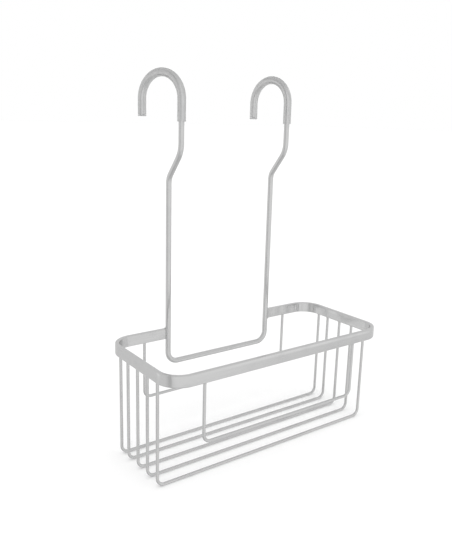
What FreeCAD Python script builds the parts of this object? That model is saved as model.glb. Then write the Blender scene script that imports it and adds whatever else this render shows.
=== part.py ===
import FreeCAD, Part
import math
import os

# Hanging shower caddy: a bent-wire hanger with two sleeved hooks, a flat-bar rim and a basket of wires.
# Frame, in millimetres: +X to the right, +Y towards the wall, +Z up.
# The origin is the middle of the rail line: x = 0 halfway between the legs, y = 0 in the plane of the
# hanger's long legs, z = 0 at the undersides of the two sleeves, where they rest on a rail.

# Rim: one flat bar on edge, bent round the basket and open at the back between the hanger's legs
rim_width = 290.0
rim_depth = 130.0
rim_height = 12.0
rim_thickness = 4.5
rim_corner_radius = 25.0
rim_edge_radius = 0.6
rim_top_z = -272.5
rim_end_gap = 1.2

# Hanger: one round wire from hook tip to hook tip
hanger_wire_diameter = 6.0
hanger_spacing = 142.0
hook_radius = 26.5
hook_turns = {"left": 20.0, "right": 8.0}
hook_setback = 24.5
jog_top_z = -75.0
jog_bottom_z = -104.0
jog_top_radius = 25.0
jog_bottom_radius = 15.0
crossbar_drop = 41.0
crossbar_radius = 12.5
tip_round = 0.6

# Sleeves: clear tube pushed over each hook, past the wire's tip
sleeve_diameter = 8.8
sleeve_tip_z = -40.0
sleeve_leg_z = -44.5
sleeve_overhang = 1.5
sleeve_round = 0.4

# Basket: U-shaped wires whose two ends butt against the underside of the rim
basket_wire_diameter = 3.3
basket_bend_radius = 8.0
floor_wire_drop = 121.6
floor_wire_inset = 0.4
floor_wire_setbacks = (-38.2, -18.4, 1.5, 22.0, 38.1)
guard_width = 202.0
front_guard_drop = 74.5
front_guard_shift = -4.0
rear_guard_drop = 77.0

# Worked out from the sizes above
hanger_wire_radius = hanger_wire_diameter / 2
sleeve_radius = sleeve_diameter / 2
basket_wire_radius = basket_wire_diameter / 2
half_spacing = hanger_spacing / 2
rim_bottom_z = rim_top_z - rim_height
rim_centre_y = hanger_wire_radius - rim_depth / 2
rim_line_x = (rim_width - rim_thickness) / 2
rim_line_y = (rim_depth - rim_thickness) / 2
floor_wire_x = rim_line_x - floor_wire_inset
hook_top_z = sleeve_radius
clearance = 1.0
same_place = 0.01


def vector(x, y, z):
    return FreeCAD.Vector(x, y, z)


def bent_path(corners, radii):
    """Straight runs through the corners, each inner corner rounded to its centre-line bend radius."""
    edges = []
    run_start = corners[0]
    for before, corner, after, radius in zip(corners, corners[1:], corners[2:], radii):
        back = (before - corner).normalize()
        forward = (after - corner).normalize()
        half_angle = back.getAngle(forward) / 2
        arc_start = corner + back * (radius / math.tan(half_angle))
        arc_end = corner + forward * (radius / math.tan(half_angle))
        inward = (back + forward).normalize()
        arc_middle = corner + inward * (radius / math.sin(half_angle) - radius)
        if run_start.distanceToPoint(arc_start) > same_place:
            edges.append(Part.LineSegment(run_start, arc_start).toShape())
        edges.append(Part.Arc(arc_start, arc_middle, arc_end).toShape())
        run_start = arc_end
    edges.append(Part.LineSegment(run_start, corners[-1]).toShape())
    return Part.Wire(edges)


def rod(path, radius):
    """A round bar swept along a path."""
    start = path.Edges[0].Vertexes[0].Point
    direction = path.Edges[0].tangentAt(path.Edges[0].FirstParameter)
    profile = Part.Wire(Part.Circle(start, direction, radius).toShape())
    return path.makePipeShell([profile], True, False)


def soften_ends(solid, ends, radius):
    """Round the outer edge of the flat end at each of the given points."""
    edges = [
        edge
        for edge in solid.Edges
        if any(edge.CenterOfMass.distanceToPoint(end) < same_place for end in ends)
    ]
    return solid.makeFillet(radius, edges)


def hook_corners(side, tip_z):
    """Corners of one hook, from its tip up and over to the top of its leg."""
    leg_x = -half_spacing if side == "left" else half_spacing
    turn = math.radians(hook_turns[side])
    reach = vector(-math.sin(turn), math.cos(turn), 0) * (2 * hook_radius)
    leg_top = vector(leg_x, -hook_setback, hook_top_z)
    tip_top = leg_top + reach
    tip = vector(tip_top.x, tip_top.y, tip_z)
    return [tip, tip_top, leg_top]


def leg_corners(leg_x):
    """Corners of one long leg, from the step in front of the wall down to the crossbar."""
    return [
        vector(leg_x, -hook_setback, jog_top_z),
        vector(leg_x, 0, jog_bottom_z),
        vector(leg_x, 0, rim_top_z - crossbar_drop),
    ]


def hanger_wire():
    """The long wire: hook, leg, crossbar, leg, hook."""
    wire_tip_z = sleeve_tip_z + sleeve_overhang
    left = hook_corners("left", wire_tip_z) + leg_corners(-half_spacing)
    right = hook_corners("right", wire_tip_z) + leg_corners(half_spacing)
    side_radii = [hook_radius, hook_radius, jog_top_radius, jog_bottom_radius, crossbar_radius]
    path = bent_path(left + right[::-1], side_radii + side_radii[::-1])
    return soften_ends(rod(path, hanger_wire_radius), [left[0], right[0]], tip_round)


def hook_sleeve(side):
    """The clear tube over one hook, open at both ends."""
    corners = hook_corners(side, sleeve_tip_z)
    leg_end = vector(corners[-1].x, corners[-1].y, sleeve_leg_z)
    path = bent_path(corners + [leg_end], [hook_radius, hook_radius])
    outside = soften_ends(rod(path, sleeve_radius), [corners[0], leg_end], sleeve_round)
    return outside.cut(rod(path, hanger_wire_radius))


def rounded_block(width, depth, corner_radius):
    """A slab as high as the rim, with round upright corners, centred on the basket."""
    x = width / 2 - corner_radius
    y = depth / 2 - corner_radius
    cut = corner_radius * math.sqrt(0.5)
    edges = []
    for turn in range(4):
        angle = turn * math.pi / 2
        along, across = (x, y) if turn % 2 == 0 else (y, x)
        rotation = FreeCAD.Rotation(vector(0, 0, 1), math.degrees(angle))
        points = [
            vector(along + corner_radius, -across, 0),
            vector(along + corner_radius, across, 0),
            vector(along + cut, across + cut, 0),
            vector(along, across + corner_radius, 0),
        ]
        side_start, arc_start, arc_middle, arc_end = [rotation.multVec(point) for point in points]
        edges.append(Part.LineSegment(side_start, arc_start).toShape())
        edges.append(Part.Arc(arc_start, arc_middle, arc_end).toShape())
    block = Part.Face(Part.Wire(edges)).extrude(vector(0, 0, rim_height))
    block.translate(vector(0, rim_centre_y, rim_bottom_z))
    return block


def rim_band(hanger):
    """The flat bar round the basket, its two ends shaped to sit against the hanger's legs."""
    inner_radius = rim_corner_radius - rim_thickness
    inner_width = rim_width - 2 * rim_thickness
    inner_depth = rim_depth - 2 * rim_thickness
    outside = rounded_block(rim_width, rim_depth, rim_corner_radius)
    inside = rounded_block(inner_width, inner_depth, inner_radius)
    ring = outside.cut(inside)
    long_edges = [
        edge
        for edge in ring.Edges
        if abs(edge.Vertexes[0].Z - edge.Vertexes[-1].Z) < same_place
    ]
    ring = ring.makeFillet(rim_edge_radius, long_edges)
    gap_width = hanger_spacing + 2 * rim_end_gap
    gap_depth = rim_thickness + 2 * clearance
    gap = Part.makeBox(gap_width, gap_depth, rim_height + 2 * clearance)
    gap_y = rim_centre_y + rim_depth / 2 - rim_thickness - clearance
    gap.translate(vector(-gap_width / 2, gap_y, rim_bottom_z - clearance))
    return ring.cut(gap).cut(hanger).Solids[0]


def basket_wire(left_x, right_x, y, drop):
    """A U-shaped wire hanging under the rim, its bottom run centred the given drop below the rim's top."""
    bottom_z = rim_top_z - drop
    corners = [
        vector(left_x, y, rim_bottom_z),
        vector(left_x, y, bottom_z),
        vector(right_x, y, bottom_z),
        vector(right_x, y, rim_bottom_z),
    ]
    return rod(bent_path(corners, [basket_bend_radius, basket_bend_radius]), basket_wire_radius)


def floor_wires():
    """The wires that run down one short side of the rim, across the floor and up the other, front first."""
    wires = {}
    for number, setback in enumerate(floor_wire_setbacks, start=1):
        wire = basket_wire(-floor_wire_x, floor_wire_x, rim_centre_y + setback, floor_wire_drop)
        wires[f"floor_wire_{number}"] = wire
    return wires


def guard_wire(centre_x, y, drop):
    """A shallower U under one long side of the rim, which keeps bottles in."""
    return basket_wire(centre_x - guard_width / 2, centre_x + guard_width / 2, y, drop)


def build():
    hanger = hanger_wire()
    nodes = {
        "hanger_wire": hanger,
        "rim_band": rim_band(hanger),
        "front_guard_wire": guard_wire(front_guard_shift, rim_centre_y - rim_line_y, front_guard_drop),
        "rear_guard_wire": guard_wire(0, rim_centre_y + rim_line_y, rear_guard_drop),
        "hook_sleeve_left": hook_sleeve("left"),
        "hook_sleeve_right": hook_sleeve("right"),
    }
    nodes.update(floor_wires())
    return nodes


os.makedirs("parts", exist_ok=True)
for name, shape in build().items():
    shape.exportStep(f"parts/{name}.step")
    box = shape.BoundBox
    print(
        f"{name:18s} solids {len(shape.Solids)} valid {shape.isValid()} volume {shape.Volume:9.1f}"
        f"  x {box.XMin:7.1f} {box.XMax:7.1f}  y {box.YMin:7.1f} {box.YMax:7.1f}"
        f"  z {box.ZMin:7.1f} {box.ZMax:7.1f}"
    )
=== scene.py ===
import math

import bmesh
import bpy
from bpy.props import FloatProperty, FloatVectorProperty, IntProperty, PointerProperty
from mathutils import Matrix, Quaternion, Vector


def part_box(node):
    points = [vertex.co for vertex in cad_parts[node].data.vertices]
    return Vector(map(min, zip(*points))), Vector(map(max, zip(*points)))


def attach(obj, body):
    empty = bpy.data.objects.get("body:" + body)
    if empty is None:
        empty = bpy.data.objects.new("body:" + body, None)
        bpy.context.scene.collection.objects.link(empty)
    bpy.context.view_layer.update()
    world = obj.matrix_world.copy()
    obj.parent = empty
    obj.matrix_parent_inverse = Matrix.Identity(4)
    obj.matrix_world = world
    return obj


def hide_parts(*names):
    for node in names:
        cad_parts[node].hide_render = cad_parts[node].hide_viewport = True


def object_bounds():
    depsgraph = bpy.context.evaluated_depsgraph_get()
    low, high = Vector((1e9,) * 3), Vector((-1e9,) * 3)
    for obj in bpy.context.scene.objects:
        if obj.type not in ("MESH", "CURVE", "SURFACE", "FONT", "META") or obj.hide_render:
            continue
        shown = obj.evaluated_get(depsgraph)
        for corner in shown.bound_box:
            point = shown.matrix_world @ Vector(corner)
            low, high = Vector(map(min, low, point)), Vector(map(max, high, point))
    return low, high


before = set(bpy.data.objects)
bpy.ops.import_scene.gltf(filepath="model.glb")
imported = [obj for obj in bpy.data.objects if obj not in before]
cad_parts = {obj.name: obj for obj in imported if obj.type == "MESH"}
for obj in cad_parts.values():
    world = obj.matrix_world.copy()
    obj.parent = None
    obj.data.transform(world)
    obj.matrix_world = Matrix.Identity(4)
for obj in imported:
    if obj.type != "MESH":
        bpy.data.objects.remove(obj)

cad_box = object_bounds()

bl_info = {
    "name": "Shower Caddy",
    "version": (1, 0, 0),
    "blender": (4, 5, 0),
    "location": "View3D > Sidebar > Shower Caddy",
    "description": "Builds a hanging shower caddy of bent wire and flat bar with clear hook sleeves",
    "category": "Object",
}

MM = 0.001
STOCK = "stock"  # a point attribute: each point's place in the straight stock, before it was bent
OUTER_FACE_CUTS = 23  # points up the bar's outer face, for its lean and its tuck
HIDDEN_DEPTH = 0.5 * MM  # how far an end runs on inside the piece that it is welded to
STRAIGHT = math.radians(0.01)  # a smaller turn is no bend
SHARP_EDGE = math.radians(60)  # a sharper edge is a cut end
FLAT_EDGE = math.radians(40)  # a flatter edge is shaded smooth
HOOK_STEP = math.radians(4.5)  # the turn from one outline to the next: in the hanger and its sleeves,
RIM_STEP = math.radians(3.0)  # in the rim bar,
BASKET_STEP = math.radians(7.5)  # in the basket wires
BEAD_STEP = math.radians(12)  # and in the weld beads
BEAD_FACETS = 16
BEAD_BEND = 1.3  # the weld bead's bend radius and the rounding of its ends are shares of its radius
BEAD_END_ROUND = 0.45
FLASH_STEPS = 5  # steps from the top to the foot of the weld round a wire's end
RIPPLE_STEPS = 6  # steps from one ripple of a weld bead to the next
SHORT = HIDDEN_DEPTH / 10  # a shorter run between two bends is left out
FLOOR_WIRES = ("floor_wire_1", "floor_wire_2", "floor_wire_3", "floor_wire_4", "floor_wire_5")
GUARD_WIRES = {"front_guard_rod": "front_guard_wire", "rear_guard_rod": "rear_guard_wire"}
SIDES = {"left": -1, "right": 1}

# What the metal mirrors. Headings and elevations are in degrees, 0 in front of the caddy, + to the right.
ROOM_TONE = 1.0
FAR_CARDS = (  # heading, elevation, reach, softness, tone
    (0.0, 90.0, 52.0, 20.0, 0.86),
    (-125.0, 0.0, 62.0, 18.0, 0.84),
    (160.0, 18.0, 22.0, 12.0, 0.84),
    (118.0, 15.0, 18.0, 8.0, 1.03),
    (-1.0, -5.0, 50.0, 8.0, 1.05),
)
FLOOR_TONE = 0.91
FLOOR_EDGE = Vector((-0.10, -0.53, 0.84))  # square to the tilted line between the room and its floor
NEAR_CARDS = (  # these hang in front of the floor
    (0.0, -90.0, 48.0, 16.0, 0.84),
    (-131.0, -13.0, 10.0, 5.0, 1.08),
    (-160.0, -25.0, 18.0, 10.0, 0.865),
    (140.0, 20.0, 20.0, 10.0, 0.83),
    (42.0, 38.0, 27.0, 20.0, 0.90),
    (44.0, -34.0, 17.0, 6.0, 1.04),
    (42.0, -12.0, 7.0, 5.0, 1.14),
    (48.5, -25.0, 7.5, 4.0, 0.84),
)
FLAG_HEADING = -62.0  # a tall dark flag beside the soft box
FLAG_TONE = 0.66
FLAG_NEAR_EDGE = (-0.015, 0.015)  # this span and the next three are cosines
FLAG_FAR_EDGE = (-0.45, -0.12)
FLAG_FRONT_HALF = (0.1, 0.3)
FLOOR_BLUR = (-0.02, 0.02)
KEY_PLACE = (-0.6, -0.8, 1.5)
KEY_DIRECTION = Vector((-0.25, -0.35, 1.0))
KEY_SPREAD = math.radians(90)
PAPER = (0.92, 0.92, 0.92)
PAPER_FIBRE = (0.90, 0.90, 0.90)

HANGER_LOW, HANGER_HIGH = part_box("hanger_wire")
RIM_LOW, RIM_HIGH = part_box("rim_band")
SLEEVE_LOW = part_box("hook_sleeve_left")[0]


def length(name, description, default):
    """A size in metres that a user may change."""
    return FloatProperty(name=name, description=description, default=default, precision=5, unit="LENGTH")


def angle(name, description, degrees):
    """An angle that a user may change."""
    return FloatProperty(
        name=name, description=description, default=math.radians(degrees), subtype="ANGLE"
    )


def factor(name, description, default):
    """A share from none to all that a user may change."""
    return FloatProperty(
        name=name, description=description, default=default, min=0.0, max=1.0, subtype="FACTOR"
    )


def count(name, description, default):
    """A number of flats that a user may change."""
    return IntProperty(name=name, description=description, default=default, min=3)


def colour(name, description, default):
    """A colour that a user may change."""
    return FloatVectorProperty(
        name=name, description=description, default=default, min=0.0, max=1.0, subtype="COLOR"
    )


# ---------------------------------------------------------------- sizes and finishes


class HangerSizes(bpy.types.PropertyGroup):
    """The long wire from hook tip to hook tip"""

    wire_diameter: length("Wire Diameter", "Thickness of the hanger wire", 6.0 * MM)
    hook_radius: length("Hook Radius", "Bend radius of the hooks on their centre line", 26.5 * MM)
    left_turn: angle("Left Hook Turn", "How far the left hook is turned towards the left", 20.0)
    right_turn: angle("Right Hook Turn", "How far the right hook is turned towards the left", 8.0)
    setback: length("Setback", "How far the top of each leg stands in front of its lower part", 24.5 * MM)
    tip_z: length("Tip Height", "Height of the wire's cut ends", -38.5 * MM)
    tip_round: length("Tip Round", "Rounding of the wire's cut ends", 0.6 * MM)
    step_top_z: length("Step Top", "Height where each leg starts to step back", -75.0 * MM)
    step_bottom_z: length("Step Bottom", "Height where the step back ends", -104.0 * MM)
    step_top_radius: length("Upper Step Radius", "Bend radius at the top of the step", 25.0 * MM)
    step_bottom_radius: length("Lower Step Radius", "Bend radius at the foot of the step", 15.0 * MM)
    crossbar_radius: length("Crossbar Radius", "Bend radius where a leg turns into the crossbar", 12.5 * MM)
    facets: count("Facets", "Flats round the wire", 40)


class RimSizes(bpy.types.PropertyGroup):
    """The flat bar round the basket and its two welds"""

    thickness: length("Thickness", "Thickness of the flat bar", 4.5 * MM)
    corner_radius: length("Corner Radius", "Outer radius of the rim's four corners", 25.0 * MM)
    edge_radius: length("Edge Radius", "Rounding along the bar's four edges", 0.6 * MM)
    lean_width: length("Upper Edge Width", "How far the lean of the upper edge reaches down", 3.3 * MM)
    lean_depth: length("Upper Edge Lean", "How far the upper edge leans back", 0.25 * MM)
    tuck_width: length("Lower Edge Width", "How far the tuck of the lower edge reaches up", 1.2 * MM)
    tuck_depth: length("Lower Edge Tuck", "How far the lower edge tucks in", 0.3 * MM)
    end_x: length("End", "Distance from the middle to each end of the bar", 72.2 * MM)
    bead_radius: length("Bead Radius", "Half the width of the weld between bar and leg", 1.05 * MM)
    ripple_pitch: length("Ripple Pitch", "Distance between two ripples of the weld", 1.3 * MM)
    ripple_depth: factor("Ripple Depth", "How much a ripple swells the weld", 0.09)


class BasketSizes(bpy.types.PropertyGroup):
    """The U-shaped wires under the rim"""

    wire_diameter: length("Wire Diameter", "Thickness of the basket wires", 3.3 * MM)
    bend_radius: length("Bend Radius", "Bend radius of the basket wires on their centre line", 8.0 * MM)
    flash_width: length("Flash Width", "How far the weld stands out round a wire's end", 0.45 * MM)
    flash_height: length("Flash Height", "How far the weld runs down a wire's end", 1.1 * MM)
    facets: count("Facets", "Flats round the wire", 28)


class SleeveSizes(bpy.types.PropertyGroup):
    """The clear tubes over the hooks"""

    diameter: length("Diameter", "Outer diameter of the sleeve", 8.8 * MM)
    bore: length("Bore", "Inner diameter of the sleeve, which grips the wire", 5.9 * MM)
    tip_z: length("Tip Height", "Height of the sleeve's end at the hook's tip", -40.0 * MM)
    end_round: length("End Round", "Rounding of the sleeve's ends", 0.4 * MM)
    facets: count("Facets", "Flats round the sleeve", 48)


class Finishes(bpy.types.PropertyGroup):
    """Colours and gloss of the metal and the sleeves"""

    metal: colour("Metal", "Colour of the polished metal", (0.585, 0.585, 0.585))
    metal_worn: colour("Metal, Worn", "Colour where handling has dulled the polish", (0.555, 0.556, 0.558))
    gloss: factor("Metal Roughness", "Roughness of the polish", 0.15)
    draw_depth: factor("Draw Lines", "How much the drawing lines roughen the polish", 0.10)
    vinyl: colour("Vinyl", "Colour of the clear sleeves", (1.0, 1.0, 1.0))
    # painted reflection: this colour tints the sleeves in darker lengthwise stripes
    vinyl_reflection_stripes: colour("Vinyl, Lines", "Colour of the lines along the sleeves", (0.83, 0.833, 0.836))
    vinyl_cut: colour("Vinyl, Cut", "Colour of the frosted end of the sleeves", (0.80, 0.802, 0.805))
    vinyl_haze: factor("Vinyl Haze", "Roughness of the clear sleeves", 0.03)


class StudioSettings(bpy.types.PropertyGroup):
    """Floor, light and camera"""

    target: FloatVectorProperty(
        name="Target",
        description="Point that the camera faces",
        default=(-0.03762, -0.0620, -0.19269),
        subtype="TRANSLATION",
    )
    azimuth: angle("Azimuth", "Camera's turn round the caddy, 0 looking at the front", -36.27)
    elevation: angle("Elevation", "Camera's height above the horizon", 13.23)
    roll: angle("Roll", "Camera's turn about its own line of sight", 1.5)
    distance: length("Distance", "Camera's distance from its target", 0.65933)
    lens: FloatProperty(name="Lens", description="Focal length", default=42.147, unit="CAMERA")
    floor_size: length("Floor Size", "Side of the floor", 60.0)
    sun: FloatProperty(name="Key Light", description="Strength of the soft key light", default=1.1)
    backdrop: factor("Backdrop", "Brightness of the plain backdrop", 1.0)


class CaddySettings(bpy.types.PropertyGroup):
    """Everything a user may change"""

    hanger: PointerProperty(type=HangerSizes, name="Hanger", description="Sizes of the hanger wire")
    rim: PointerProperty(type=RimSizes, name="Rim", description="Sizes of the rim and its welds")
    basket: PointerProperty(type=BasketSizes, name="Basket", description="Sizes of the basket wires")
    sleeve: PointerProperty(type=SleeveSizes, name="Sleeves", description="Sizes of the hook sleeves")
    finish: PointerProperty(type=Finishes, name="Finishes", description="Colours and gloss")
    studio: PointerProperty(type=StudioSettings, name="Studio", description="Floor, light and camera")


# ---------------------------------------------------------------- modelling


def deselect_everything():
    """Leave edit mode with no object selected."""
    if bpy.context.mode != "OBJECT":
        bpy.ops.object.mode_set(mode="OBJECT")
    bpy.ops.object.select_all(action="DESELECT")


def edit(piece):
    """Work on a piece's mesh with all of it selected."""
    bpy.context.view_layer.objects.active = piece
    bpy.ops.object.mode_set(mode="EDIT")
    bpy.ops.mesh.select_mode(type="VERT")
    bpy.ops.mesh.select_all(action="SELECT")


def remember_stock(piece):
    """Keep each point's place in the straight stock, so that a finish can follow the piece's bends."""
    stock = piece.data.attributes.new(STOCK, "FLOAT_VECTOR", "POINT")
    for point, place in zip(piece.data.vertices, stock.data):
        place.vector = point.co


def start_round(name, centre, heading, radius, facets):
    """The outline of a round wire at the start of its path."""
    deselect_everything()
    bpy.ops.mesh.primitive_circle_add(
        vertices=facets,
        radius=radius,
        fill_type="NOTHING",
        location=centre,
        rotation=heading.to_track_quat("Z", "Y").to_euler(),
    )
    piece = bpy.context.active_object
    piece.name = piece.data.name = name
    remember_stock(piece)
    bpy.ops.object.transform_apply(location=True, rotation=True, scale=True)
    return piece


def mark_along(piece, along):
    """Write how far along the stock the selected outline is."""
    mesh = bmesh.from_edit_mesh(piece.data)
    stock = mesh.verts.layers.float_vector[STOCK]
    for point in mesh.verts:
        if point.select:
            place = point[stock]
            point[stock] = Vector((place.x, place.y, along))
    bmesh.update_edit_mesh(piece.data)


def draw_out(piece, place, step, along, pitch, swell):
    """Extrude the selected outline along a straight run, in steps no longer than the pitch."""
    steps = max(1, math.ceil(step.length / pitch))
    for _ in range(steps):
        bpy.ops.mesh.extrude_region_move(TRANSFORM_OT_translate={"value": step / steps})
        place = place + step / steps
        along = swell_to(piece, place, along, along + step.length / steps, swell)
    return along


def swell_to(piece, place, before, along, swell):
    """Give the selected outline the width that the piece has here, and mark how far along it is."""
    if swell:
        size = swell(along) / swell(before)
        bpy.ops.transform.resize(value=(size, size, size), center_override=place)
    mark_along(piece, along)
    return along


def follow(piece, corners, radii, bend_step, pitch=math.inf, swell=None):
    """Draw the selected outline along straight runs, rounding each inner corner to its radius."""
    place = corners[0]
    along = 0.0
    for before, corner, after, radius in zip(corners, corners[1:], corners[2:], radii):
        heading = (corner - before).normalized()
        leaving = (after - corner).normalized()
        turn = heading.angle(leaving)
        if turn < STRAIGHT:
            along = draw_out(piece, place, corner - place, along, pitch, swell)
            place = corner
            continue
        setback = radius * math.tan(turn / 2)
        bend_start = corner - heading * setback
        if (bend_start - place).length > SHORT:
            along = draw_out(piece, place, bend_start - place, along, pitch, swell)
        axis = heading.cross(leaving).normalized()
        centre = bend_start + axis.cross(heading) * radius
        steps = max(2, math.ceil(turn / bend_step))
        for number in range(1, steps + 1):
            bpy.ops.mesh.spin(
                steps=1, angle=-turn / steps, center=centre, axis=axis, use_auto_merge=False
            )
            turned = Quaternion(axis, turn * number / steps)
            here = centre + turned @ (bend_start - centre)
            along = swell_to(piece, here, along, along + radius * turn / steps, swell)
        place = corner + leaving * setback
    return draw_out(piece, place, corners[-1] - place, along, pitch, swell)


def close_ends():
    """Put a face on both open ends of the piece being edited."""
    bpy.ops.mesh.select_all(action="DESELECT")
    bpy.ops.mesh.select_non_manifold(
        extend=False, use_wire=False, use_boundary=True, use_multi_face=False,
        use_non_contiguous=False, use_verts=False,
    )
    bpy.ops.mesh.edge_face_add()


def face_outwards():
    """Turn every face outwards and leave edit mode."""
    bpy.ops.mesh.select_all(action="SELECT")
    bpy.ops.mesh.normals_make_consistent(inside=False)
    bpy.ops.object.mode_set(mode="OBJECT")


def add_modifier(piece, kind, **settings):
    """Add one modifier with these settings and apply it."""
    bpy.context.view_layer.objects.active = piece
    bpy.ops.object.modifier_add(type=kind)
    modifier = piece.modifiers[-1]
    for name, value in settings.items():
        setattr(modifier, name, value)
    bpy.ops.object.modifier_apply(modifier=modifier.name)


def round_cut_ends(piece, radius, segments):
    """Round the sharp edges where a piece was cut off."""
    add_modifier(
        piece, "BEVEL", width=radius, segments=segments, limit_method="ANGLE", angle_limit=SHARP_EDGE
    )


def smooth(piece):
    """Smooth shading over the rounds, with the flats kept flat."""
    bpy.context.view_layer.objects.active = piece
    piece.select_set(True)
    bpy.ops.object.shade_smooth_by_angle(angle=FLAT_EDGE)
    add_modifier(piece, "WEIGHTED_NORMAL", keep_sharp=True)


def finish_piece(piece, slot, material, *nodes):
    """Give a piece its finish and its body, and hide the nodes that it stands for."""
    piece.data.materials.clear()
    piece.data.materials.append(material)
    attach(piece, "root")
    if nodes:
        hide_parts(*nodes)


def hook_route(sizes, side, tip_z):
    """Corners of one hook's centre line, from its tip up and over to the top of its leg."""
    leg_x = SIDES[side] * (HANGER_HIGH[0] - sizes.wire_diameter / 2)
    top_z = HANGER_HIGH[2] - sizes.wire_diameter / 2
    turn = sizes.left_turn if side == "left" else sizes.right_turn
    reach = Vector((-math.sin(turn), math.cos(turn), 0.0)) * (2 * sizes.hook_radius)
    leg_top = Vector((leg_x, -sizes.setback, top_z))
    tip_top = leg_top + reach
    return [Vector((tip_top.x, tip_top.y, tip_z)), tip_top, leg_top]


def ease(share):
    """From 0 to 1 with a gentle start and end."""
    share = min(max(share, 0.0), 1.0)
    return share * share * (3.0 - 2.0 * share)


def shape_outer_face(bar, sizes, height):
    """Lean the outer face of the bar's outline back along its top and tuck it in along its foot."""
    half = sizes.thickness / 2
    bpy.ops.mesh.select_all(action="DESELECT")
    mesh = bmesh.from_edit_mesh(bar.data)
    for edge in mesh.edges:
        edge.select_set(all(point.co.x > half - 0.01 * MM for point in edge.verts))
    bmesh.update_edit_mesh(bar.data)
    bpy.ops.mesh.subdivide(number_cuts=OUTER_FACE_CUTS)
    bpy.ops.object.mode_set(mode="OBJECT")
    for point in bar.data.vertices:
        lean = ease((point.co.y - height / 2 + sizes.lean_width) / sizes.lean_width)
        tuck = ease((sizes.tuck_width - height / 2 - point.co.y) / sizes.tuck_width)
        back = lean * sizes.lean_depth + tuck * sizes.tuck_depth
        point.co.x -= back * max(point.co.x, 0.0) / half


def bead_swell(sizes):
    """How wide the weld is along its length, as a share of its radius."""

    def width(along):
        return 1.0 + sizes.ripple_depth * math.sin(2 * math.pi * along / sizes.ripple_pitch)

    return width


def basket_rod(sizes, name, node):
    """A U-shaped wire in its node's place, with the flash of its welds round both ends."""
    low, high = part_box(node)
    radius = sizes.wire_diameter / 2
    y = (low[1] + high[1]) / 2
    left_x = low[0] + radius
    right_x = high[0] - radius
    bottom_z = low[2] + radius
    rim_z = high[2]
    flash = [rim_z - sizes.flash_height * step / FLASH_STEPS for step in range(FLASH_STEPS + 1)]
    stops = [rim_z + HIDDEN_DEPTH] + flash
    left = [Vector((left_x, y, z)) for z in stops]
    right = [Vector((right_x, y, z)) for z in reversed(stops)]
    corners = left + [Vector((left_x, y, bottom_z)), Vector((right_x, y, bottom_z))] + right
    radii = [0.0] * (len(left) - 1) + [sizes.bend_radius] * 2 + [0.0] * (len(right) - 1)
    bend_saved = (2 - math.pi / 2) * sizes.bend_radius
    whole = 2 * (stops[0] - bottom_z) + (right_x - left_x) - 2 * bend_saved

    def swell(along):
        from_end = min(along, whole - along) - HIDDEN_DEPTH
        share = min(max(from_end / sizes.flash_height, 0.0), 1.0)
        return 1.0 + sizes.flash_width / radius * (1.0 - share) ** 2

    heading = (corners[1] - corners[0]).normalized()
    rod = start_round(name, corners[0], heading, radius * swell(0.0), sizes.facets)
    edit(rod)
    follow(rod, corners, radii, BASKET_STEP, swell=swell)
    close_ends()
    face_outwards()
    smooth(rod)
    return rod


# ---------------------------------------------------------------- materials


def new_material(name):
    """An empty material with its shader and its output."""
    material = bpy.data.materials.new(name)
    material.use_nodes = True
    tree = material.node_tree
    tree.nodes.clear()
    shader = tree.nodes.new("ShaderNodeBsdfPrincipled")
    output = tree.nodes.new("ShaderNodeOutputMaterial")
    tree.links.new(shader.outputs["BSDF"], output.inputs["Surface"])
    return material, tree, shader


def stock_place(tree, scale):
    """Places in the straight stock, stretched by a scale for each axis."""
    place = tree.nodes.new("ShaderNodeAttribute")
    place.attribute_name = STOCK
    mapping = tree.nodes.new("ShaderNodeMapping")
    mapping.inputs["Scale"].default_value = scale
    tree.links.new(place.outputs["Vector"], mapping.inputs["Vector"])
    return mapping.outputs["Vector"]


def object_place(tree):
    """Places on the finished piece."""
    return tree.nodes.new("ShaderNodeTexCoord").outputs["Object"]


def noise(tree, place, scale, detail=2.0, distortion=0.0):
    """Soft random patches: a value from 0 to 1."""
    node = tree.nodes.new("ShaderNodeTexNoise")
    node.inputs["Scale"].default_value = scale
    node.inputs["Detail"].default_value = detail
    node.inputs["Distortion"].default_value = distortion
    tree.links.new(place, node.inputs["Vector"])
    return node.outputs[0]


def spread(tree, value, low, high, to_low=0.0, to_high=1.0):
    """Stretch a value from one span to another, held at its ends."""
    node = tree.nodes.new("ShaderNodeMapRange")
    node.interpolation_type = "SMOOTHSTEP"
    node.inputs["From Min"].default_value = low
    node.inputs["From Max"].default_value = high
    node.inputs["To Min"].default_value = to_low
    node.inputs["To Max"].default_value = to_high
    tree.links.new(value, node.inputs["Value"])
    return node.outputs["Result"]


def calculate(tree, operation, first, second):
    """One step of arithmetic on two sockets or numbers."""
    node = tree.nodes.new("ShaderNodeMath")
    node.operation = operation
    for socket, value in zip(node.inputs, (first, second)):
        if isinstance(value, bpy.types.NodeSocket):
            tree.links.new(value, socket)
        else:
            socket.default_value = value
    return node.outputs["Value"]


def blend_colours(tree, share, first, second):
    """Blend from a first colour or socket to a second colour, by a share."""
    node = tree.nodes.new("ShaderNodeMix")
    node.data_type = "RGBA"
    share_in, first_in, second_in = node.inputs[0], node.inputs[6], node.inputs[7]
    tree.links.new(share, share_in)
    if isinstance(first, bpy.types.NodeSocket):
        tree.links.new(first, first_in)
    else:
        first_in.default_value = (*first, 1.0)
    second_in.default_value = (*second, 1.0)
    return node.outputs[2]


def add_bump(tree, shader, heights):
    """Stack bumps on a shader: each height is a socket with its strength and its depth in metres."""
    normal = None
    for height, strength, depth in heights:
        bump = tree.nodes.new("ShaderNodeBump")
        bump.inputs["Strength"].default_value = strength
        bump.inputs["Distance"].default_value = depth
        tree.links.new(height, bump.inputs["Height"])
        if normal:
            tree.links.new(normal, bump.inputs["Normal"])
        normal = bump.outputs["Normal"]
    tree.links.new(normal, shader.inputs["Normal"])


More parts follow.
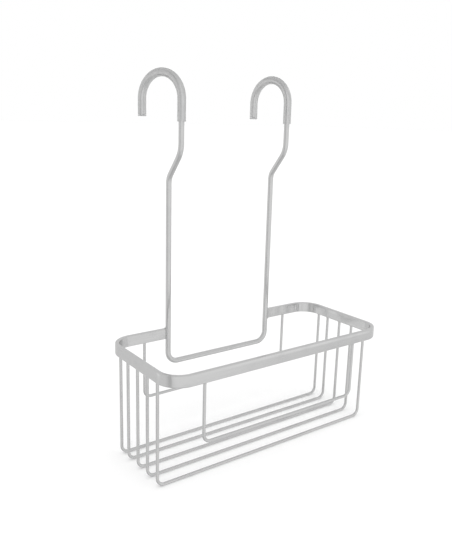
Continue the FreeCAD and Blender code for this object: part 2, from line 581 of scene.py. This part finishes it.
def polished_metal(name, finish, line_scale):
    """Drawn and polished metal: fine lines along the stock, dull patches and a slight orange peel."""
    material, tree, shader = new_material(name)
    shader.inputs["Metallic"].default_value = 1.0
    lines = noise(tree, stock_place(tree, line_scale), 1.0, detail=3.0)
    patches = noise(tree, object_place(tree), 45.0, detail=3.0, distortion=0.6)
    peel = noise(tree, object_place(tree), 900.0, detail=1.0)
    dulled = spread(tree, patches, 0.45, 0.75)
    shade = blend_colours(tree, dulled, finish.metal, finish.metal_worn)
    tree.links.new(shade, shader.inputs["Base Color"])
    lined = spread(tree, lines, 0.3, 0.7, 0.0, finish.draw_depth)
    handled = spread(tree, patches, 0.4, 0.8, finish.gloss, finish.gloss + 0.06)
    tree.links.new(calculate(tree, "ADD", lined, handled), shader.inputs["Roughness"])
    add_bump(tree, shader, [(peel, 0.10, 0.04 * MM), (lines, 0.10, 0.02 * MM)])
    return material


def weld_metal(finish):
    """Plated weld metal: duller than the drawn stock and faintly pitted."""
    material, tree, shader = new_material("plated_weld")
    shader.inputs["Metallic"].default_value = 1.0
    place = object_place(tree)
    grain = noise(tree, place, 1400.0, detail=4.0)
    patches = noise(tree, place, 300.0)
    shade = blend_colours(tree, spread(tree, patches, 0.35, 0.7), finish.metal, finish.metal_worn)
    tree.links.new(shade, shader.inputs["Base Color"])
    rough = spread(tree, grain, 0.3, 0.7, finish.gloss + 0.06, finish.gloss + 0.18)
    tree.links.new(rough, shader.inputs["Roughness"])
    add_bump(tree, shader, [(grain, 0.35, 0.08 * MM)])
    return material


def clear_vinyl(finish, cut_depth):
    """Clear tube with faint bumped lines along it, its tint painted darker in lengthwise stripes for
    reflection, frosted where it was cut at the tip.
    """
    material, tree, shader = new_material("clear_vinyl")
    shader.inputs["Transmission Weight"].default_value = 1.0
    shader.inputs["IOR"].default_value = 1.52
    lines = noise(tree, stock_place(tree, (850.0, 850.0, 1.0)), 1.0, detail=1.0)
    # painted reflection: the tint is darker in lengthwise stripes round the sleeve
    tint_with_painted_stripes = blend_colours(tree, spread(tree, lines, 0.36, 0.43), finish.vinyl_reflection_stripes, finish.vinyl)
    parts = tree.nodes.new("ShaderNodeSeparateXYZ")
    tree.links.new(stock_place(tree, (1.0, 1.0, 1.0)), parts.inputs[0])
    clear = spread(tree, parts.outputs["Z"], cut_depth, cut_depth + 0.3 * MM)
    frosted = calculate(tree, "SUBTRACT", 1.0, clear)
    tree.links.new(blend_colours(tree, frosted, tint_with_painted_stripes, finish.vinyl_cut), shader.inputs["Base Color"])
    smears = noise(tree, object_place(tree), 120.0, detail=3.0, distortion=0.8)
    haze = spread(tree, smears, 0.35, 0.75, finish.vinyl_haze, finish.vinyl_haze + 0.03)
    haze = calculate(tree, "ADD", haze, calculate(tree, "MULTIPLY", frosted, 0.4))
    tree.links.new(haze, shader.inputs["Roughness"])
    add_bump(tree, shader, [(lines, 0.10, 0.04 * MM)])
    return material


def pale_floor():
    """Plain matt paper."""
    material, tree, shader = new_material("pale_paper")
    fibres = noise(tree, object_place(tree), 400.0, detail=3.0)
    shade = blend_colours(tree, fibres, PAPER, PAPER_FIBRE)
    tree.links.new(shade, shader.inputs["Base Color"])
    shader.inputs["Roughness"].default_value = 0.9
    shader.inputs["Specular IOR Level"].default_value = 0.1
    return material


# ---------------------------------------------------------------- studio


def direction(heading, elevation):
    """A unit vector, with its heading in degrees to the right of the front of the caddy."""
    heading, elevation = math.radians(heading), math.radians(elevation)
    flat = math.cos(elevation)
    return Vector((math.sin(heading) * flat, -math.cos(heading) * flat, math.sin(elevation)))


def facing(tree, towards, way):
    """How much a direction of the world agrees with one given: its cosine."""
    node = tree.nodes.new("ShaderNodeVectorMath")
    node.operation = "DOT_PRODUCT"
    tree.links.new(towards, node.inputs[0])
    node.inputs[1].default_value = way
    return node.outputs["Value"]


def tone_towards(tree, share, behind, tone):
    """Replace the brightness behind by a card's own tone, by the card's share."""
    node = tree.nodes.new("ShaderNodeMix")
    tree.links.new(share, node.inputs["Factor"])
    if isinstance(behind, bpy.types.NodeSocket):
        tree.links.new(behind, node.inputs["A"])
    else:
        node.inputs["A"].default_value = behind
    node.inputs["B"].default_value = tone
    return node.outputs["Result"]


def card(tree, room, towards, heading, elevation, reach, softness, tone):
    """Hang a round soft-edged card in the room: its middle, its reach and its edge are in degrees."""
    inner = math.cos(math.radians(reach - softness / 2))
    outer = math.cos(math.radians(reach + softness / 2))
    share = spread(tree, facing(tree, towards, direction(heading, elevation)), outer, inner)
    return tone_towards(tree, share, room, tone)


def flag(tree, room, towards):
    """Stand a tall dark flag in the room: crisp at its near edge and fading out at its far edge."""
    across = facing(tree, towards, direction(FLAG_HEADING + 90.0, 0.0))
    near = spread(tree, across, *FLAG_NEAR_EDGE, 1.0, 0.0)
    far = spread(tree, across, *FLAG_FAR_EDGE)
    front_half = spread(tree, facing(tree, towards, direction(FLAG_HEADING, 0.0)), *FLAG_FRONT_HALF)
    share = calculate(tree, "MULTIPLY", calculate(tree, "MULTIPLY", near, far), front_half)
    return tone_towards(tree, share, room, FLAG_TONE)


def light_the_room(studio):
    """A plain backdrop for the camera, and round it soft boxes and cards for the metal to mirror."""
    world = bpy.data.worlds.new("soft_studio")
    world.use_nodes = True
    tree = world.node_tree
    tree.nodes.clear()
    towards = tree.nodes.new("ShaderNodeTexCoord").outputs["Generated"]
    room = ROOM_TONE
    for place in FAR_CARDS:
        room = card(tree, room, towards, *place)
    below = spread(tree, facing(tree, towards, FLOOR_EDGE), *FLOOR_BLUR, 1.0, 0.0)
    room = tone_towards(tree, below, room, FLOOR_TONE)
    for place in NEAR_CARDS:
        room = card(tree, room, towards, *place)
    room = flag(tree, room, towards)
    shown = tree.nodes.new("ShaderNodeLightPath").outputs["Is Camera Ray"]
    brightness = tone_towards(tree, shown, room, studio.backdrop)
    background = tree.nodes.new("ShaderNodeBackground")
    background.inputs["Color"].default_value = (1.0, 1.0, 1.0, 1.0)
    tree.links.new(brightness, background.inputs["Strength"])
    output = tree.nodes.new("ShaderNodeOutputWorld")
    tree.links.new(background.outputs["Background"], output.inputs["Surface"])
    bpy.context.scene.world = world


def set_the_key(studio):
    """One large soft light from above, which brightens the floor without streaking the metal."""
    deselect_everything()
    bpy.ops.object.light_add(type="SUN", location=KEY_PLACE)
    key = bpy.context.active_object
    key.name = "key_light"
    key.rotation_euler = KEY_DIRECTION.to_track_quat("Z", "Y").to_euler()
    key.data.energy = studio.sun
    key.data.angle = KEY_SPREAD
    key.visible_glossy = False
    key.visible_transmission = False


def lay_the_floor(studio):
    """A wide plain floor just under the caddy."""
    deselect_everything()
    bpy.ops.mesh.primitive_plane_add(size=studio.floor_size, location=(0, 0, cad_box[0][2]))
    floor = bpy.context.active_object
    floor.name = "floor"
    floor.data.materials.append(pale_floor())
    floor.visible_glossy = False
    floor.visible_transmission = False


def place_the_camera(studio):
    """Stand the camera at its distance from the target and tip it by its roll."""
    back = direction(math.degrees(studio.azimuth), math.degrees(studio.elevation))
    turn = back.to_track_quat("Z", "Y") @ Quaternion((0, 0, 1), studio.roll)
    place = Vector(studio.target) + back * studio.distance
    deselect_everything()
    bpy.ops.object.camera_add(location=place, rotation=turn.to_euler())
    camera = bpy.context.active_object
    camera.name = "camera"
    camera.data.lens = studio.lens
    camera.data.clip_start = 0.01
    camera.data.clip_end = 100.0
    bpy.context.scene.camera = camera


# ---------------------------------------------------------------- operators


class CADDY_OT_hanger_rod(bpy.types.Operator):
    """Bend the hanger wire: hook, leg, crossbar, leg, hook"""

    bl_idname = "caddy.hanger_rod"
    bl_label = "Hanger Rod"

    def execute(self, context):
        caddy = context.scene.shower_caddy
        sizes = caddy.hanger
        radius = sizes.wire_diameter / 2
        leg_x = HANGER_HIGH[0] - radius
        crossbar_z = HANGER_LOW[2] + radius
        route = {}
        for side, sign in SIDES.items():
            route[side] = hook_route(sizes, side, sizes.tip_z) + [
                Vector((sign * leg_x, -sizes.setback, sizes.step_top_z)),
                Vector((sign * leg_x, 0.0, sizes.step_bottom_z)),
                Vector((sign * leg_x, 0.0, crossbar_z)),
            ]
        corners = route["left"] + route["right"][::-1]
        radii = [sizes.hook_radius] * 2
        radii += [sizes.step_top_radius, sizes.step_bottom_radius, sizes.crossbar_radius]
        rod = start_round("hanger_rod", corners[0], Vector((0, 0, 1)), radius, sizes.facets)
        edit(rod)
        follow(rod, corners, radii + radii[::-1], HOOK_STEP)
        close_ends()
        face_outwards()
        round_cut_ends(rod, sizes.tip_round, 4)
        smooth(rod)
        metal = polished_metal("polished_hanger", caddy.finish, (900.0, 900.0, 14.0))
        finish_piece(rod, "polished_steel", metal, "hanger_wire")
        return {"FINISHED"}


class CADDY_OT_rim_bar(bpy.types.Operator):
    """Bend the flat bar round the basket, from one leg of the hanger to the other"""

    bl_idname = "caddy.rim_bar"
    bl_label = "Rim Bar"

    def execute(self, context):
        caddy = context.scene.shower_caddy
        sizes = caddy.rim
        half = sizes.thickness / 2
        height = RIM_HIGH[2] - RIM_LOW[2]
        middle_z = (RIM_LOW[2] + RIM_HIGH[2]) / 2
        side_x = RIM_HIGH[0] - half
        front_y = RIM_LOW[1] + half
        back_y = RIM_HIGH[1] - half
        line = [
            (-sizes.end_x, back_y),
            (-side_x, back_y),
            (-side_x, front_y),
            (side_x, front_y),
            (side_x, back_y),
            (sizes.end_x, back_y),
        ]
        corners = [Vector((x, y, middle_z)) for x, y in line]
        deselect_everything()
        bpy.ops.mesh.primitive_plane_add(
            size=1, location=corners[0], rotation=(math.pi / 2, 0, math.pi / 2)
        )
        bar = context.active_object
        bar.name = bar.data.name = "rim_bar"
        bar.scale = (sizes.thickness, height, 1.0)
        bpy.ops.object.transform_apply(location=False, rotation=False, scale=True)
        edit(bar)
        bpy.ops.mesh.bevel(offset=sizes.edge_radius, segments=5, affect="VERTICES")
        bpy.ops.mesh.select_all(action="SELECT")
        bpy.ops.mesh.delete(type="ONLY_FACE")
        shape_outer_face(bar, sizes, height)
        remember_stock(bar)
        bpy.ops.object.transform_apply(location=True, rotation=True, scale=True)
        edit(bar)
        bend_radius = sizes.corner_radius - half
        follow(bar, corners, [bend_radius] * 4, RIM_STEP)
        close_ends()
        face_outwards()
        smooth(bar)
        metal = polished_metal("polished_bar", caddy.finish, (1200.0, 700.0, 9.0))
        finish_piece(bar, "polished_steel", metal, "rim_band")
        return {"FINISHED"}


class CADDY_OT_rim_welds(bpy.types.Operator):
    """Lay a rippled weld round each end of the rim bar, where it meets a leg"""

    bl_idname = "caddy.rim_welds"
    bl_label = "Rim Welds"

    def execute(self, context):
        caddy = context.scene.shower_caddy
        sizes = caddy.rim
        leg_radius = caddy.hanger.wire_diameter / 2
        leg_x = HANGER_HIGH[0] - leg_radius
        bead = sizes.bead_radius  # it lies partly sunk into the bar and the leg
        foot_z = RIM_LOW[2] - bead / 4
        crest_z = RIM_HIGH[2] + bead / 2
        reach = leg_radius + bead / 3
        front_y = RIM_HIGH[1] - sizes.thickness - bead / 3
        back_y = RIM_HIGH[1] - bead
        front_x = leg_x + math.sqrt(reach**2 - front_y**2)
        back_x = leg_x + math.sqrt(reach**2 - back_y**2)
        metal = weld_metal(caddy.finish)
        for side, sign in SIDES.items():
            corners = [
                Vector((sign * front_x, front_y, foot_z)),
                Vector((sign * front_x, front_y, crest_z)),
                Vector((sign * back_x, back_y, crest_z)),
                Vector((sign * back_x, back_y, foot_z)),
            ]
            weld = start_round(f"rim_weld_{side}", corners[0], Vector((0, 0, 1)), bead, BEAD_FACETS)
            edit(weld)
            pitch = sizes.ripple_pitch / RIPPLE_STEPS
            follow(weld, corners, [bead * BEAD_BEND] * 2, BEAD_STEP, pitch, bead_swell(sizes))
            close_ends()
            face_outwards()
            round_cut_ends(weld, bead * BEAD_END_ROUND, 3)
            smooth(weld)
            finish_piece(weld, "polished_steel", metal)
        return {"FINISHED"}


class CADDY_OT_floor_rods(bpy.types.Operator):
    """Bend the five wires that make the basket's short sides and its floor"""

    bl_idname = "caddy.floor_rods"
    bl_label = "Floor Rods"

    def execute(self, context):
        caddy = context.scene.shower_caddy
        metal = polished_metal("polished_floor_wire", caddy.finish, (1100.0, 1100.0, 16.0))
        for number, node in enumerate(FLOOR_WIRES, start=1):
            rod = basket_rod(caddy.basket, f"floor_rod_{number}", node)
            finish_piece(rod, "polished_steel", metal, node)
        return {"FINISHED"}


class CADDY_OT_guard_rods(bpy.types.Operator):
    """Bend the two shallower wires under the long sides of the rim"""

    bl_idname = "caddy.guard_rods"
    bl_label = "Guard Rods"

    def execute(self, context):
        caddy = context.scene.shower_caddy
        metal = polished_metal("polished_guard_wire", caddy.finish, (1100.0, 1100.0, 16.0))
        for name, node in GUARD_WIRES.items():
            rod = basket_rod(caddy.basket, name, node)
            finish_piece(rod, "polished_steel", metal, node)
        return {"FINISHED"}


class CADDY_OT_hook_sleeves(bpy.types.Operator):
    """Draw a clear tube over each hook"""

    bl_idname = "caddy.hook_sleeves"
    bl_label = "Hook Sleeves"

    def execute(self, context):
        caddy = context.scene.shower_caddy
        sizes = caddy.sleeve
        radius = sizes.diameter / 2
        hook_radius = caddy.hanger.hook_radius
        vinyl = clear_vinyl(caddy.finish, caddy.hanger.tip_z - sizes.tip_z)
        for side in SIDES:
            corners = hook_route(caddy.hanger, side, sizes.tip_z)
            leg_end = corners[-1].copy()
            leg_end.z = SLEEVE_LOW[2]
            corners.append(leg_end)
            name = f"sleeve_{side}"
            sleeve = start_round(name, corners[0], Vector((0, 0, 1)), radius, sizes.facets)
            edit(sleeve)
            follow(sleeve, corners, [hook_radius] * 2, HOOK_STEP)
            face_outwards()
            wall = radius - sizes.bore / 2
            add_modifier(sleeve, "SOLIDIFY", thickness=wall, offset=-1.0, use_even_offset=True)
            round_cut_ends(sleeve, sizes.end_round, 4)
            smooth(sleeve)
            finish_piece(sleeve, "clear_sleeve", vinyl, f"hook_sleeve_{side}")
        return {"FINISHED"}


class CADDY_OT_studio(bpy.types.Operator):
    """Lay the floor, light the room and place the camera"""

    bl_idname = "caddy.studio"
    bl_label = "Studio"

    def execute(self, context):
        studio = context.scene.shower_caddy.studio
        lay_the_floor(studio)
        light_the_room(studio)
        set_the_key(studio)
        place_the_camera(studio)
        context.scene.view_settings.view_transform = "Standard"
        return {"FINISHED"}


STEPS = (
    CADDY_OT_hanger_rod,
    CADDY_OT_rim_bar,
    CADDY_OT_rim_welds,
    CADDY_OT_floor_rods,
    CADDY_OT_guard_rods,
    CADDY_OT_hook_sleeves,
    CADDY_OT_studio,
)


class CADDY_PT_build(bpy.types.Panel):
    """Lists the caddy's steps and its sizes"""

    bl_label = "Shower Caddy"
    bl_idname = "CADDY_PT_build"
    bl_space_type = "VIEW_3D"
    bl_region_type = "UI"
    bl_category = "Shower Caddy"

    def draw(self, context):
        settings = context.scene.shower_caddy
        for step in STEPS:
            self.layout.operator(step.bl_idname)
        for group in ("hanger", "rim", "basket", "sleeve", "finish", "studio"):
            box = self.layout.box()
            values = getattr(settings, group)
            box.label(text=group.capitalize())
            for name in values.__annotations__:
                box.prop(values, name)


CLASSES = (
    HangerSizes,
    RimSizes,
    BasketSizes,
    SleeveSizes,
    Finishes,
    StudioSettings,
    CaddySettings,
    *STEPS,
    CADDY_PT_build,
)


def register():
    for cls in CLASSES:
        bpy.utils.register_class(cls)
    bpy.types.Scene.shower_caddy = PointerProperty(type=CaddySettings)


def unregister():
    del bpy.types.Scene.shower_caddy
    for cls in reversed(CLASSES):
        bpy.utils.unregister_class(cls)


def main():
    """Build every piece and the studio."""
    register()
    for step in STEPS:
        area, name = step.bl_idname.split(".")
        getattr(getattr(bpy.ops, area), name)()


if __name__ == "__main__":
    main()
